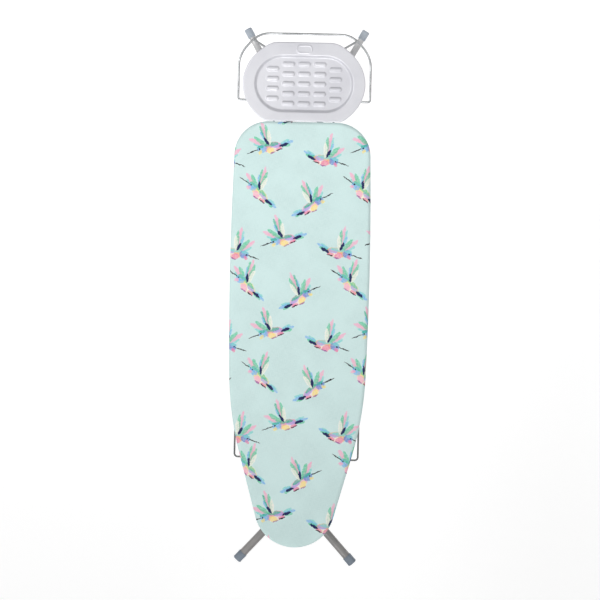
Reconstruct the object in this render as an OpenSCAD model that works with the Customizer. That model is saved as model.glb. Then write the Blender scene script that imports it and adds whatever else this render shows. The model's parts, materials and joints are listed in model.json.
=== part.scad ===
// Folding ironing board with a wire-framed iron rest.
// It lies folded flat on its four foot caps: +Z up through the cover, +Y to the iron rest, -Y to the nose.
// The origin is on the floor, under the scissor pin, on the board's centre line.

/* [Board] */
// Half width of the board at its widest
board_half = 193; // [170:1:200]
// Half width at the square end
end_half = 182.3; // [165:0.1:190]
// Square end of the board, from the scissor pin
end_y = 478; // [470:1:481]
// Height of the cover's top face when folded
cover_top = 75.8; // [75.8:0.1:78]
// Angle between each side of the nose and the centre line
nose_angle = 15.4; // [15:0.1:16]
// Radius of the nose
nose_r = 110; // [95:1:115]
// Radius of the corners at the square end
corner_r = 92; // [70:1:95]

/* [Deck frame] */
// Diameter of the rim tube
rim_d = 14; // [12:1:14]
// Distance from the cover's outline to the rim tube's centre line
rim_inset = 8.2; // [8.2:0.1:10]
// Width of a cross bar
bar_w = 20; // [16:1:24]
// Height of a cross bar
bar_h = 12; // [10:1:12]
// Diameter of the holes in the deck sheet
vent_d = 34; // [20:1:40]
// Spacing of the holes in the deck sheet
vent_pitch = 60; // [52:1:80]

/* [Legs] */
// Distance from the scissor pin to the top pivot and to the sliding bar
arm = 420; // [415:1:425]
// Distance from the scissor pin to the tube ends at the feet
reach = 719; // [715:1:726]
// Largest opening angle of the legs
open_angle = 48; // [40:1:48]
// Diameter of the inner, nose-end leg tubes
inner_d = 22; // [20:0.5:22]
// Diameter of the outer, rest-end leg tubes
outer_d = 18; // [16:0.5:19]
// Distance of the inner tubes from the centre line
inner_x = 16; // [16:0.5:17]
// Distance of the outer tubes from the centre line
outer_x = 42; // [41:0.5:43]
// Half width across the nose-end feet
inner_foot_x = 155.5; // [140:0.5:170]
// Half width across the rest-end feet
outer_foot_x = 157; // [140:0.1:170]
// Splay of the nose-end feet
inner_splay = 42; // [38:1:45]
// Splay of the rest-end feet
outer_splay = 30; // [28:1:35]

/* [Iron rest] */
// Half width of the tray
tray_half = 166; // [150:1:168]
// Half length of the ellipse that rounds the tray's sides
tray_bulge = 130; // [120:1:135]
// Centre of the tray
tray_y = 580; // [578:1:582]
// Near edge of the tray
tray_near = 479.2; // [479.2:0.1:484]
// Far edge of the tray
tray_far = 692; // [685:1:695]
// Half width of the hanging rail
rail_half = 178.5; // [174:0.5:180]
// Far run of the hanging rail
rail_far = 714.5; // [712:0.5:720]
// Diameter of the hanging rail and the tray wires
wire_d = 6; // [5:0.5:6]

/* [Height release] */
// Half width of the wire bail
bail_half = 168.5; // [166:0.5:172]
// Cross end of the wire bail
bail_end = -436; // [-446:1:-436]
// Diameter of the bail wire
bail_d = 5; // [4:0.5:5]
// Diameter of the bail's pivot rod
bail_rod_d = 6; // [6:0.5:6.5]
// Number of height notches
notches = 8; // [4:1:8]
// Spacing of the height notches
notch_pitch = 24; // [20:1:24]

/* [Hidden] */
$fn = 48;

// Heights above the floor
rod_z = 38;
foot_z = 13;
rim_z = 61;
sheet_t = 1;
sheet_z = rim_z + rim_d / 2;
sheet_inset = rim_inset - 1;
bar_z = sheet_z - bar_h;
cover_t = 0.8;
rim_wall = 1;
rim_sides = 12;
// Drain holes in the underside of the rim tube
drain_ys = [-200, 100];
drain_d = 4;
// The deck sheet's holes: first and last row, columns on each side, and the margin kept round them
vent_first = 440;
vent_last = -610;
vent_columns = 4;
vent_margin = 30;
lip_z = 52.5;
lip_w = 24;
soft_gap = 0.2;
// Side clearance between the padding and the cover's wall
padding_gap = 0.5;
// Slits in the cover's lip, where the tray wires come through
slit_w = 10;
slit_back = 40;
slit_h = 3;
// How far cutting shapes reach past what they cut
over = 1;
padding_z = sheet_z + sheet_t + soft_gap;
padding_top = cover_top - cover_t - soft_gap;

// Leg frames: both lie in planes that cross at the scissor pin
slope = asin((rod_z - foot_z) / (arm + reach));
pin_z = rod_z - arm * sin(slope);
pivot_y = arm * cos(slope);
slide_shut = -pivot_y;
slide_open = pivot_y - 2 * arm * cos(open_angle + slope);
tube_wall = 1.5;
tube_sides = 24;
tube_stub = 8;
bend_r = 70;
rod_d = 10;
pin_d = 8;
running = 0.05;
side_gap = 0.3;
cap_len = 26;
cap_wall = 2;
nose_cap_floor = 6;
// The rest caps reach as far along Y as the nose caps do
rest_cap_floor = (nose_cap_floor * cos(inner_splay) + (inner_d / 2 + cap_wall) * sin(inner_splay)
    - (outer_d / 2 + cap_wall) * sin(outer_splay)) / cos(outer_splay);
sole_w = 10;
sole_back = 2;
brace_d = 12;
// Scissor pin: head, nut, washers and the spacers between the tubes
pin_head_d = 15;
pin_head_h = 3;
pin_nut_h = 5;
pin_end = 6;
washer_d = 18;
washer_t = 2;
mid_spacer_d = 12;
pin_half = outer_x + outer_d / 2 + side_gap + washer_t;
inner_brace_y = -612;
outer_brace_y = 545;

// Slotted rails, pivot brackets and glides
plate_x = 62;
plate_t = 2;
plate_low = 26;
flange_w = 10;
slot_r = 7.2;
glide_r = 7;
glide_rim = 10;
slot_end = 5;
glide_rim_t = 3.5;
bracket_half = 14;
spacer_d = 14;
rod_nut_d = 16;
rod_nut_h = 4;
rod_end = 8;
slider_end = 7;
rivet_d = 5;
rivet_head = 9;
rivet_crown = 6;
rivet_h = 1.5;
bar_wall = 1.2;
// The cross bars are pressed a little way into the rim tube
bar_reach = (rim_inset + rim_d / 2 - 1.5) / cos(nose_angle);
bar_ys = [420, 200, -130, -278, -425, -585];
rail_bars = [-130, -278, -425];
rivet_x = plate_x + plate_t / 2 + flange_w / 2;

// Height release
bail_y = 200;
bail_z = 48.5;
strip_t = 3;
strip_top = 55;
strip_low = 44;
strip_web = 46.5;
release_angle = 1.1;
notch_r = rod_d / 2 + 0.4;
notch_end = 0.2;
strip_root = 20;
strip_hub = 12;
bail_corner = 9;
bail_elbow = 4;
// The pivot rod ends this far inside the bail's sides
rod_short = 8;
lug_x = 110;
lug_t = 3;
lug_half = 7;
lug_low = 5;
spring_x = 94;
spring_len = 13;
spring_wall = 1.5;
spring_gap = 0.5;

// Iron rest
wire_x = 81;
wire_low = 51;
wire_high = 60;
wire_sides = 12;
wire_root = 404;
wire_rise = [end_y + 6, end_y + 32];
wire_elbow = 655;
wire_bend = [93, 669];
wire_tip = [141, 697.5];
clip_wall = 2;
root_clip = [14, 16];
tray_clip = [12, 12];
tray_clip_wall = 1.5;
tray_clip_ys = [545, 630];
rail_z = 54;
// Corners of the rail's +X half, from the tray's side to its far run: x, y, radius and steps
rail_corners = [[rail_half, 534.6, 7, 6], [rail_half, 655, 80, 7], [127.5, rail_far, 70, 8]];
tray_floor = 63.2;
tray_top = 72;
tray_skirt = 65;
tray_t = 1;
recess_half = 132;
recess_r = 74.5;
pad_r = 6.5;
pad_half = 17.5;
pad_h = 3.5;
pad_step = [42.5, 26.5];
badge_y = 673;
badge_half = 21.5;
badge_r = 11;
badge_h = 1.2;
// The tray's corners: radius, and length along Y taken up by each
tray_near_r = 30;
tray_far_r = 60;
near_blend = 8;
far_blend = 7.5;

// The board's outline is a seven-sided figure with every corner rounded: half of it, square end to nose
taper_y = -318;
taper_half = 182.9;
nose_y = taper_y - taper_half / tan(nose_angle);
half_corners = [[end_half, end_y, corner_r, 14], [board_half, 60, 9000, 8], [taper_half, taper_y, 900, 8]];
corners = concat(
    half_corners,
    [[0, nose_y, nose_r, 28]],
    [for (i = [len(half_corners) - 1:-1:0])
        [-half_corners[i][0], half_corners[i][1], half_corners[i][2], half_corners[i][3]]]);

function unit(v) = v / norm(v);
function xy(c) = [c[0], c[1]];
function wrap(i, n) = (i + n) % n;
// Half of the angle between the two sides that meet at corner c
function half_turn(before, c, after) = acos(unit(before - c) * unit(after - c)) / 2;
function inward(before, c, after) = unit(unit(before - c) + unit(after - c));
// Corners of a figure moved inwards by d, with their radii reduced to match
function inset_corners(cs, d) = [for (i = [0:len(cs) - 1])
    let (n = len(cs), b = xy(cs[wrap(i - 1, n)]), c = xy(cs[i]), a = xy(cs[wrap(i + 1, n)]),
         p = c + inward(b, c, a) * d / sin(half_turn(b, c, a)))
    [p[0], p[1], cs[i][2] - d, cs[i][3]]];
// Points along the arc that rounds one corner
function arc_points(b, c, a, r, steps) =
    let (h = half_turn(b, c, a), m = c + inward(b, c, a) * r / sin(h),
         s = c + unit(b - c) * r / tan(h) - m, e = c + unit(a - c) * r / tan(h) - m,
         from = atan2(s[1], s[0]), turn = arc_turn(from, atan2(e[1], e[0])))
    [for (k = [0:steps]) m + r * [cos(from + turn * k / steps), sin(from + turn * k / steps)]];
function arc_turn(from, to) = ((to - from + 540) % 360) - 180;
function rounded(cs) = [for (i = [0:len(cs) - 1])
    let (n = len(cs))
    each arc_points(xy(cs[wrap(i - 1, n)]), xy(cs[i]), xy(cs[wrap(i + 1, n)]), cs[i][2], cs[i][3])];
function outline(d) = rounded(inset_corners(corners, d));
// Half width of the straight-sided figure at y
function half_width(y) = lookup(y, [[nose_y, 0], [taper_y, taper_half], [60, board_half], [end_y, end_half]]);
// Half width of the board's rounded outline at y
function edge_x(y) = lookup(y, [for (p = outline(0)) if (p[0] > 0) [p[1], p[0]]]);
// Facets that keep an arc of radius r within 0.03 mm of its curve
function facets(r) = max(48, ceil(360 / (2 * acos(1 - 0.03 / r))));
// Centre of the notch that locks the sliding bar at y, with the strip raised
function strip_notch(y) =
    let (dy = y - bail_y, dz = rod_z - bail_z)
    [bail_y + dy * cos(release_angle) + dz * sin(release_angle),
     bail_z - dy * sin(release_angle) + dz * cos(release_angle)];
// Half width of the tray at y
function tray_half_at(y) = tray_half * sqrt(1 - pow((y - tray_y) / tray_bulge, 2));

// Points along a path whose inner corners are [x, y, radius, steps], all at height z
function route(cs, z = 0) = let (n = len(cs)) [
    [cs[0][0], cs[0][1], z],
    for (i = [1:n - 2])
        for (p = arc_points(xy(cs[i - 1]), xy(cs[i]), xy(cs[i + 1]), cs[i][2], cs[i][3])) [p[0], p[1], z],
    [cs[n - 1][0], cs[n - 1][1], z]];
function loop_route(cs, z) = [for (p = rounded(cs)) [p[0], p[1], z]];
// Direction of the path at point i
function heading(ps, i, closed) =
    let (n = len(ps), p = ps[i],
         before = closed ? ps[wrap(i - 1, n)] : ps[max(i - 1, 0)],
         after = closed ? ps[wrap(i + 1, n)] : ps[min(i + 1, n - 1)])
    unit((p == before ? [0, 0, 0] : unit(p - before)) + (p == after ? [0, 0, 0] : unit(after - p)));
// Round bar swept along a list of points; none of its stretches may stand upright
module sweep(ps, d, sides, closed = false) {
    n = len(ps);
    rings = [for (i = [0:n - 1])
        let (t = heading(ps, i, closed), side = unit(cross(t, [0, 0, 1])), up = cross(side, t))
        for (k = [0:sides - 1]) ps[i] + d / 2 * (cos(360 * k / sides) * side + sin(360 * k / sides) * up)];
    walls = [for (i = [0:closed ? n - 1 : n - 2]) for (k = [0:sides - 1])
        [i * sides + k, i * sides + wrap(k + 1, sides),
         wrap(i + 1, n) * sides + wrap(k + 1, sides), wrap(i + 1, n) * sides + k]];
    ends = closed ? [] : [[for (k = [sides - 1:-1:0]) k], [for (k = [0:sides - 1]) (n - 1) * sides + k]];
    polyhedron(rings, concat(walls, ends));
}
// Hollow tube along a flat route, open at both ends
module bent_tube(cs, d, wall) {
    ps = route(cs);
    last = len(ps) - 1;
    first_out = unit(ps[0] - ps[1]);
    last_out = unit(ps[last] - ps[last - 1]);
    longer = [ps[0] + first_out, for (i = [1:last - 1]) ps[i], ps[last] + last_out];
    difference() {
        sweep(ps, d, tube_sides);
        sweep(longer, d - 2 * wall, tube_sides);
    }
}

module rod_x(x0, x1, d) {
    translate([x0, 0, 0]) rotate([0, 90, 0]) cylinder(h = x1 - x0, d = d);
}
module ring_x(x0, x1, d, bore) {
    difference() {
        rod_x(x0, x1, d);
        rod_x(x0 - over, x1 + over, bore);
    }
}
module both_sides() {
    children();
    mirror([1, 0, 0]) children();
}
module left() {
    mirror([1, 0, 0]) children();
}
module slab(z0, z1, d) {
    translate([0, 0, z0]) linear_extrude(z1 - z0) polygon(outline(d));
}
// Shape with half-round ends, half length h to the ends
module stadium(h, r) {
    translate([-(h - r), 0]) circle(r, $fn = facets(r));
    translate([h - r, 0]) circle(r, $fn = facets(r));
    square([2 * (h - r), 2 * r], center = true);
}

// Puts a part that is drawn flat about the scissor pin into its leg frame
module inner_frame() {
    translate([0, 0, pin_z]) rotate([slope, 0, 0]) children();
}
module outer_frame() {
    translate([0, 0, pin_z]) rotate([-slope, 0, 0]) children();
}

// Soft parts
module cover() {
    color("#c9e4e0") difference() {
        slab(lip_z, cover_top, 0);
        slab(lip_z + cover_t, cover_top - cover_t, cover_t);
        slab(lip_z - over, lip_z + cover_t + over, lip_w);
        both_sides() translate([wire_x - slit_w / 2, end_y - slit_back, lip_z - over])
            cube([slit_w, slit_back + over, slit_h + over]);
    }
}
module padding() {
    color("#e8e4da") slab(padding_z, padding_top, cover_t + padding_gap);
}

// Deck
module deck_sheet() {
    rows = floor((end_y - nose_y) / vent_pitch);
    color("#a8adb0") difference() {
        slab(sheet_z, sheet_z + sheet_t, sheet_inset);
        for (j = [0:rows]) {
            y = vent_first - j * vent_pitch * sin(60);
            room = half_width(y) - vent_margin - vent_d / 2;
            shift = (j % 2) / 2;
            if (y > vent_last) for (i = [-vent_columns:vent_columns])
                if (abs((i + shift) * vent_pitch) < room)
                    translate([(i + shift) * vent_pitch, y, sheet_z - over])
                        cylinder(h = sheet_t + 2 * over, d = vent_d);
        }
    }
}
module rim_tube() {
    route = loop_route(inset_corners(corners, rim_inset), rim_z);
    color("#9a9c9c") difference() {
        sweep(route, rim_d, rim_sides, true);
        sweep(route, rim_d - 2 * rim_wall, rim_sides, true);
        for (y = drain_ys) both_sides() translate([half_width(y) - rim_inset, y, rim_z - rim_d])
            cylinder(h = rim_d, d = drain_d);
    }
}
module cross_bars() {
    color("#9a9c9c") difference() {
        for (y = bar_ys) {
            half = min(edge_x(y - bar_w / 2), edge_x(y + bar_w / 2)) - bar_reach;
            translate([-half, y, bar_z + bar_h / 2]) rotate([90, 0, 90]) linear_extrude(2 * half) difference() {
                square([bar_w, bar_h], center = true);
                square([bar_w - 2 * bar_wall, bar_h - 2 * bar_wall], center = true);
            }
        }
        rivet_holes();
    }
}
module at_rivets() {
    both_sides() for (y = concat([bar_ys[0]], rail_bars)) translate([rivet_x, y, 0]) children();
}
module rivet_holes() {
    at_rivets() translate([0, 0, bar_z - plate_t - over])
        cylinder(h = plate_t + bar_wall + 2 * over, d = rivet_d);
}
module rail_rivets() {
    color("#b9bcbe") at_rivets() {
        translate([0, 0, bar_z - plate_t]) cylinder(h = plate_t + bar_wall, d = rivet_d);
        translate([0, 0, bar_z - plate_t - rivet_h]) cylinder(h = rivet_h, d1 = rivet_crown, d2 = rivet_head);
    }
}
// Angle section hanging from the cross bars, on the +X side, from y0 to y1
module angle_plate(y0, y1) {
    translate([plate_x - plate_t / 2, y0, plate_low]) cube([plate_t, y1 - y0, bar_z - plate_low]);
    translate([plate_x - plate_t / 2, y0, bar_z - plate_t]) cube([plate_t + flange_w, y1 - y0, plate_t]);
}
module slotted_rail() {
    difference() {
        angle_plate(slide_shut - glide_r - slot_end, slide_open + glide_r + slot_end);
        for (y = [slide_shut, slide_open])
            translate([0, y, rod_z]) rod_x(plate_x - plate_t, plate_x + plate_t, 2 * slot_r);
        translate([plate_x - plate_t, slide_shut, rod_z - slot_r])
            cube([2 * plate_t, slide_open - slide_shut, 2 * slot_r]);
        rivet_holes();
    }
}
module pivot_bracket() {
    difference() {
        angle_plate(pivot_y - bracket_half, pivot_y + bracket_half);
        translate([0, pivot_y, rod_z]) rod_x(plate_x - plate_t, plate_x + plate_t, rod_d);
        rivet_holes();
    }
}
module pivot_rod() {
    color("#c4c7c9") translate([0, pivot_y, rod_z]) rod_x(-plate_x - rod_end, plate_x + rod_end, rod_d);
}
module pivot_spacers() {
    inner_edge = inner_x - inner_d / 2 - side_gap;
    outer_edge = inner_x + inner_d / 2 + side_gap;
    color("#d8d8d4") translate([0, pivot_y, rod_z]) {
        ring_x(-inner_edge, inner_edge, spacer_d, rod_d);
        both_sides() ring_x(outer_edge, plate_x - plate_t / 2, spacer_d, rod_d);
    }
}
module pivot_nuts() {
    color("#b9bcbe") translate([0, pivot_y, rod_z]) both_sides()
        ring_x(plate_x + plate_t / 2, plate_x + plate_t / 2 + rod_nut_h, rod_nut_d, rod_d);
}

// Iron rest
module tray_wires() {
    color("#c4c7c9") both_sides() sweep([
        [wire_x, wire_root, wire_low],
        [wire_x, wire_rise[0], wire_low],
        [wire_x, wire_rise[1], wire_high],
        [wire_x, wire_elbow, wire_high],
        [wire_bend[0], wire_bend[1], wire_high],
        [wire_tip[0], wire_tip[1], wire_high]], wire_d, wire_sides);
}
// Block of the given width and length between two heights
module saddle(size, z0, z1) {
    translate([-size[0] / 2, -size[1] / 2, z0]) cube([size[0], size[1], z1 - z0]);
}
module wire_groove(length, z) {
    translate([0, -length / 2 - over, z]) rotate([-90, 0, 0]) cylinder(h = length + 2 * over, d = wire_d);
}
module wire_clips() {
    color("#a8adb0") both_sides() translate([wire_x, bar_ys[0], 0]) difference() {
        saddle(root_clip, wire_low - wire_d / 2 - clip_wall, bar_z);
        wire_groove(root_clip[1], wire_low);
    }
}
module hanging_rail() {
    loop = concat(rail_corners, [for (i = [len(rail_corners) - 1:-1:0])
        [-rail_corners[i][0], rail_corners[i][1], rail_corners[i][2], rail_corners[i][3]]]);
    color("#c4c7c9") sweep(loop_route(loop, rail_z), wire_d, wire_sides, true);
}
// +X half of the tray's outline, near to far: an ellipse cut straight across at both ends, corners rounded
function tray_side(d) =
    let (near = tray_near + d, far = tray_far - d, low = near + near_blend, high = far - far_blend)
    concat(
        arc_points([0, near], [tray_half_at(near) - d, near], [tray_half_at(low) - d, low], tray_near_r, 5),
        [for (k = [0:18]) let (y = low + (high - low) * (1 - cos(10 * k)) / 2) [tray_half_at(y) - d, y]],
        arc_points([tray_half_at(high) - d, high], [tray_half_at(far) - d, far], [0, far], tray_far_r, 5));
function tray_outline(d) = let (side = tray_side(d))
    concat(side, [for (i = [len(side) - 1:-1:0]) [-side[i][0], side[i][1]]]);
module iron_tray() {
    color("#d9dbdd") {
        difference() {
            translate([0, 0, tray_skirt]) linear_extrude(tray_top - tray_skirt) polygon(tray_outline(0));
            translate([0, 0, tray_skirt - over]) linear_extrude(tray_top - tray_t - tray_skirt + over)
                polygon(tray_outline(tray_t));
            translate([0, tray_y, tray_skirt - over]) linear_extrude(tray_top - tray_skirt + 2 * over)
                stadium(recess_half, recess_r);
        }
        translate([0, tray_y, tray_floor]) difference() {
            linear_extrude(tray_top - tray_floor) stadium(recess_half + tray_t, recess_r + tray_t);
            translate([0, 0, tray_t]) linear_extrude(tray_top - tray_floor) stadium(recess_half, recess_r);
        }
        for (i = [-2:2]) {
            last = abs(i) == 2 ? 1.5 : 2;
            for (j = [-last:last])
                translate([i * pad_step[0], tray_y + j * pad_step[1], tray_floor + tray_t])
                    linear_extrude(pad_h) stadium(pad_half, pad_r);
        }
        translate([0, badge_y, tray_top]) linear_extrude(badge_h) stadium(badge_half, badge_r);
    }
}
module tray_clips() {
    color("#a8adb0") both_sides() for (y = tray_clip_ys) translate([wire_x, y, 0]) difference() {
        saddle(tray_clip, wire_high - wire_d / 2 - tray_clip_wall, tray_floor);
        wire_groove(tray_clip[1], wire_high);
    }
}

// Height release
module release_bail() {
    straight = bail_half - rod_short;
    start = straight - 2;
    arms = [[start, bail_y], [bail_half, bail_y, bail_elbow, 3], [bail_half, bail_end, bail_corner, 6],
        [-bail_half, bail_end, bail_corner, 6], [-bail_half, bail_y, bail_elbow, 3], [-start, bail_y]];
    color("#8e9092") {
        sweep(route(arms, bail_z), bail_d, wire_sides);
        translate([0, bail_y, bail_z]) rod_x(-straight, straight, bail_rod_d);
    }
}
module height_strip() {
    tip_y = slide_open - (notches - notch_end) * notch_pitch;
    root_y = slide_open + strip_root;
    color("#b9bcbe") difference() {
        union() {
            translate([-strip_t / 2, root_y, strip_web])
                cube([strip_t, bail_y - root_y, strip_top - strip_web - over]);
            translate([-strip_t / 2, tip_y, strip_low]) cube([strip_t, root_y - tip_y, strip_top - strip_low]);
            translate([0, bail_y, bail_z]) rod_x(-strip_t / 2, strip_t / 2, strip_hub);
        }
        translate([0, bail_y, bail_z]) rod_x(-strip_t, strip_t, bail_rod_d);
        for (k = [0:notches - 1]) {
            p = strip_notch(slide_open - k * notch_pitch);
            translate([0, p[0], p[1]]) rod_x(-strip_t, strip_t, 2 * notch_r);
        }
    }
}
module bail_lugs() {
    color("#9a9c9c") both_sides() difference() {
        translate([lug_x - lug_t / 2, bail_y - lug_half, bail_z - lug_low])
            cube([lug_t, 2 * lug_half, bar_z - bail_z + lug_low]);
        translate([0, bail_y, bail_z]) rod_x(lug_x - lug_t, lug_x + lug_t, bail_rod_d + 2 * running);
    }
}
module return_springs() {
    bore = bail_rod_d + 2 * spring_gap;
    color("#8e9092") both_sides() translate([0, bail_y, bail_z])
        ring_x(spring_x, spring_x + spring_len, bore + 2 * spring_wall, bore);
}

// Leg frames, drawn on the +X side
module inner_tube() {
    knee = -(reach - (inner_foot_x - inner_x) / tan(inner_splay));
    color("#969494") inner_frame() difference() {
        bent_tube([[inner_x, arm + tube_stub], [inner_x, knee, bend_r, 6], [inner_foot_x, -reach]],
            inner_d, tube_wall);
        translate([0, arm, 0]) rod_x(0, 2 * inner_x, rod_d + 2 * running);
        rod_x(0, 2 * inner_x, pin_d);
    }
}
module outer_tube() {
    knee = reach - (outer_foot_x - outer_x) / tan(outer_splay);
    color("#a8a8a8") outer_frame() difference() {
        bent_tube([[outer_x, -arm - tube_stub], [outer_x, knee, bend_r, 5], [outer_foot_x, reach]],
            outer_d, tube_wall);
        translate([0, -arm, 0]) rod_x(outer_x / 2, outer_x * 1.5, rod_d);
        rod_x(outer_x / 2, outer_x * 1.5, pin_d + 2 * running);
    }
}
// Foot cap on the end of a tube of diameter d, pointing along +Y
module cap_shell(d, end) {
    difference() {
        union() {
            translate([0, end - cap_len, 0]) rotate([-90, 0, 0]) cylinder(h = cap_len, d = d + 2 * cap_wall);
            translate([-sole_w / 2, end - cap_len + sole_back, -foot_z - over])
                cube([sole_w, cap_len - 2 * sole_back, foot_z - d / 2]);
        }
        translate([0, end - cap_len - over, 0]) rotate([-90, 0, 0]) cylinder(h = cap_len - end + over, d = d);
    }
}
// Cuts what is put into it off level with the floor, which makes the caps' flat soles
module above_floor() {
    difference() {
        children();
        translate([-2 * reach, -2 * reach, -reach]) cube([4 * reach, 4 * reach, reach]);
    }
}
module nose_cap() {
    color("#8a939e") above_floor() inner_frame() translate([inner_foot_x, -reach, 0])
        rotate([0, 0, 180 + inner_splay]) cap_shell(inner_d, nose_cap_floor);
}
module rest_cap() {
    color("#8a939e") above_floor() outer_frame() translate([outer_foot_x, reach, 0])
        rotate([0, 0, -outer_splay]) cap_shell(outer_d, rest_cap_floor);
}
// Cross brace between a frame's splayed tubes, with its ends shaped to them
module brace(y, knee, x, splay, d) {
    side = y < 0 ? -1 : 1;
    end_x = x + (abs(y) - knee) * tan(splay);
    difference() {
        translate([0, y, 0]) rod_x(-end_x, end_x, brace_d);
        both_sides() translate([end_x, y, 0]) rotate([90, 0, -side * splay])
            cylinder(h = 4 * d, d = d, center = true);
    }
}
module inner_brace() {
    knee = reach - (inner_foot_x - inner_x) / tan(inner_splay);
    color("#969494") inner_frame() brace(inner_brace_y, knee, inner_x, inner_splay, inner_d);
}
module outer_brace() {
    knee = reach - (outer_foot_x - outer_x) / tan(outer_splay);
    color("#a8a8a8") outer_frame() brace(outer_brace_y, knee, outer_x, outer_splay, outer_d);
}
module scissor_pin() {
    color("#b9bcbe") translate([0, 0, pin_z]) {
        rod_x(-pin_half, pin_half + pin_end, pin_d);
        rod_x(-pin_half - pin_head_h, -pin_half, pin_head_d);
    }
}
module scissor_nut() {
    color("#b9bcbe") translate([pin_half, 0, pin_z]) rotate([0, 90, 0]) difference() {
        cylinder(h = pin_nut_h, d = pin_head_d, $fn = 6);
        translate([0, 0, -over]) cylinder(h = pin_nut_h + 2 * over, d = pin_d);
    }
}
module scissor_spacers() {
    inner_edge = inner_x - inner_d / 2;
    color("#d8d8d4") translate([0, 0, pin_z]) {
        ring_x(-inner_edge, inner_edge, mid_spacer_d, pin_d);
        both_sides() ring_x(inner_x + inner_d / 2, outer_x - outer_d / 2 - side_gap, spacer_d, pin_d);
        both_sides() ring_x(pin_half - washer_t, pin_half, washer_d, pin_d);
    }
}
module slider_bar() {
    color("#c4c7c9") translate([0, slide_shut, rod_z])
        rod_x(-plate_x - slider_end, plate_x + slider_end, rod_d);
}
module slider_spacers() {
    color("#d8d8d4") translate([0, slide_shut, rod_z]) both_sides()
        ring_x(outer_x + outer_d / 2, plate_x - plate_t / 2 - side_gap - glide_rim_t, spacer_d, rod_d);
}
module slider_glides() {
    near = plate_x - plate_t / 2 - side_gap;
    far = plate_x + plate_t / 2 + side_gap;
    color("#2f3134") translate([0, slide_shut, rod_z]) both_sides() difference() {
        union() {
            rod_x(near - glide_rim_t, near, 2 * glide_rim);
            rod_x(near, far, 2 * glide_r);
            rod_x(far, far + glide_rim_t, 2 * glide_rim);
        }
        rod_x(near - glide_rim_t - over, far + glide_rim_t + over, rod_d);
    }
}

cover();
padding();
deck_sheet();
rim_tube();
cross_bars();
color("#9a9c9c") left() pivot_bracket();  // pivot_bracket_left
color("#9a9c9c") pivot_bracket();  // pivot_bracket_right
pivot_rod();
pivot_spacers();
pivot_nuts();
color("#a8adb0") left() slotted_rail();  // slotted_rail_left
color("#a8adb0") slotted_rail();  // slotted_rail_right
rail_rivets();
bail_lugs();
return_springs();
tray_wires();
wire_clips();
hanging_rail();
iron_tray();
tray_clips();
left() inner_tube();  // inner_tube_left
inner_tube();  // inner_tube_right
inner_brace();
scissor_pin();
scissor_nut();
scissor_spacers();
left() nose_cap();  // nose_cap_left
nose_cap();  // nose_cap_right
left() outer_tube();  // outer_tube_left
outer_tube();  // outer_tube_right
outer_brace();
slider_bar();
slider_spacers();
slider_glides();
left() rest_cap();  // rest_cap_left
rest_cap();  // rest_cap_right
release_bail();
height_strip();
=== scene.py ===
import json
import math

import bmesh
import bpy
import numpy as np
from mathutils import Matrix, Quaternion, Vector, noise


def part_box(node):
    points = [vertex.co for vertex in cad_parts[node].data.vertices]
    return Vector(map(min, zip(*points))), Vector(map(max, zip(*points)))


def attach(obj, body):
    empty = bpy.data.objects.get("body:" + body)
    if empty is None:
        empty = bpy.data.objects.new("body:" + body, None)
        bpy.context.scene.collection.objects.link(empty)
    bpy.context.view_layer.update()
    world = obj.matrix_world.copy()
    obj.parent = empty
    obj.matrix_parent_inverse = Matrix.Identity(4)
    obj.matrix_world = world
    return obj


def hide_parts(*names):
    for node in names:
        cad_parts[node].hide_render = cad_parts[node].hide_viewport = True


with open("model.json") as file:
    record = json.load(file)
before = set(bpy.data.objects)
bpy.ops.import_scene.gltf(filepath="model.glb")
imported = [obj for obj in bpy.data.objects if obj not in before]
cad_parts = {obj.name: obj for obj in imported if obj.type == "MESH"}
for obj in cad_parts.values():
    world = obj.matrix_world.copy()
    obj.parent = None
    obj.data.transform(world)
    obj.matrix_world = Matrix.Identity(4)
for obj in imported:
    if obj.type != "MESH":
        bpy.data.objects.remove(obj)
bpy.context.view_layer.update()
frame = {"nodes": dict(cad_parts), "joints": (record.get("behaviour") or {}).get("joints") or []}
scene = bpy.context.scene
MM = 0.001

# ---------------------------------------------------------------- helpers


def srgb(code):
    """Linear colour of a six-digit sRGB code."""
    parts = [int(code[i : i + 2], 16) / 255 for i in (0, 2, 4)]
    return tuple(c / 12.92 if c <= 0.04045 else ((c + 0.055) / 1.055) ** 2.4 for c in parts) + (1.0,)


def smooth(a, b, x):
    """0 below a, 1 above b, and a smooth step between them."""
    t = np.clip((x - a) / (b - a), 0, 1)
    return t * t * (3 - 2 * t)


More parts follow.
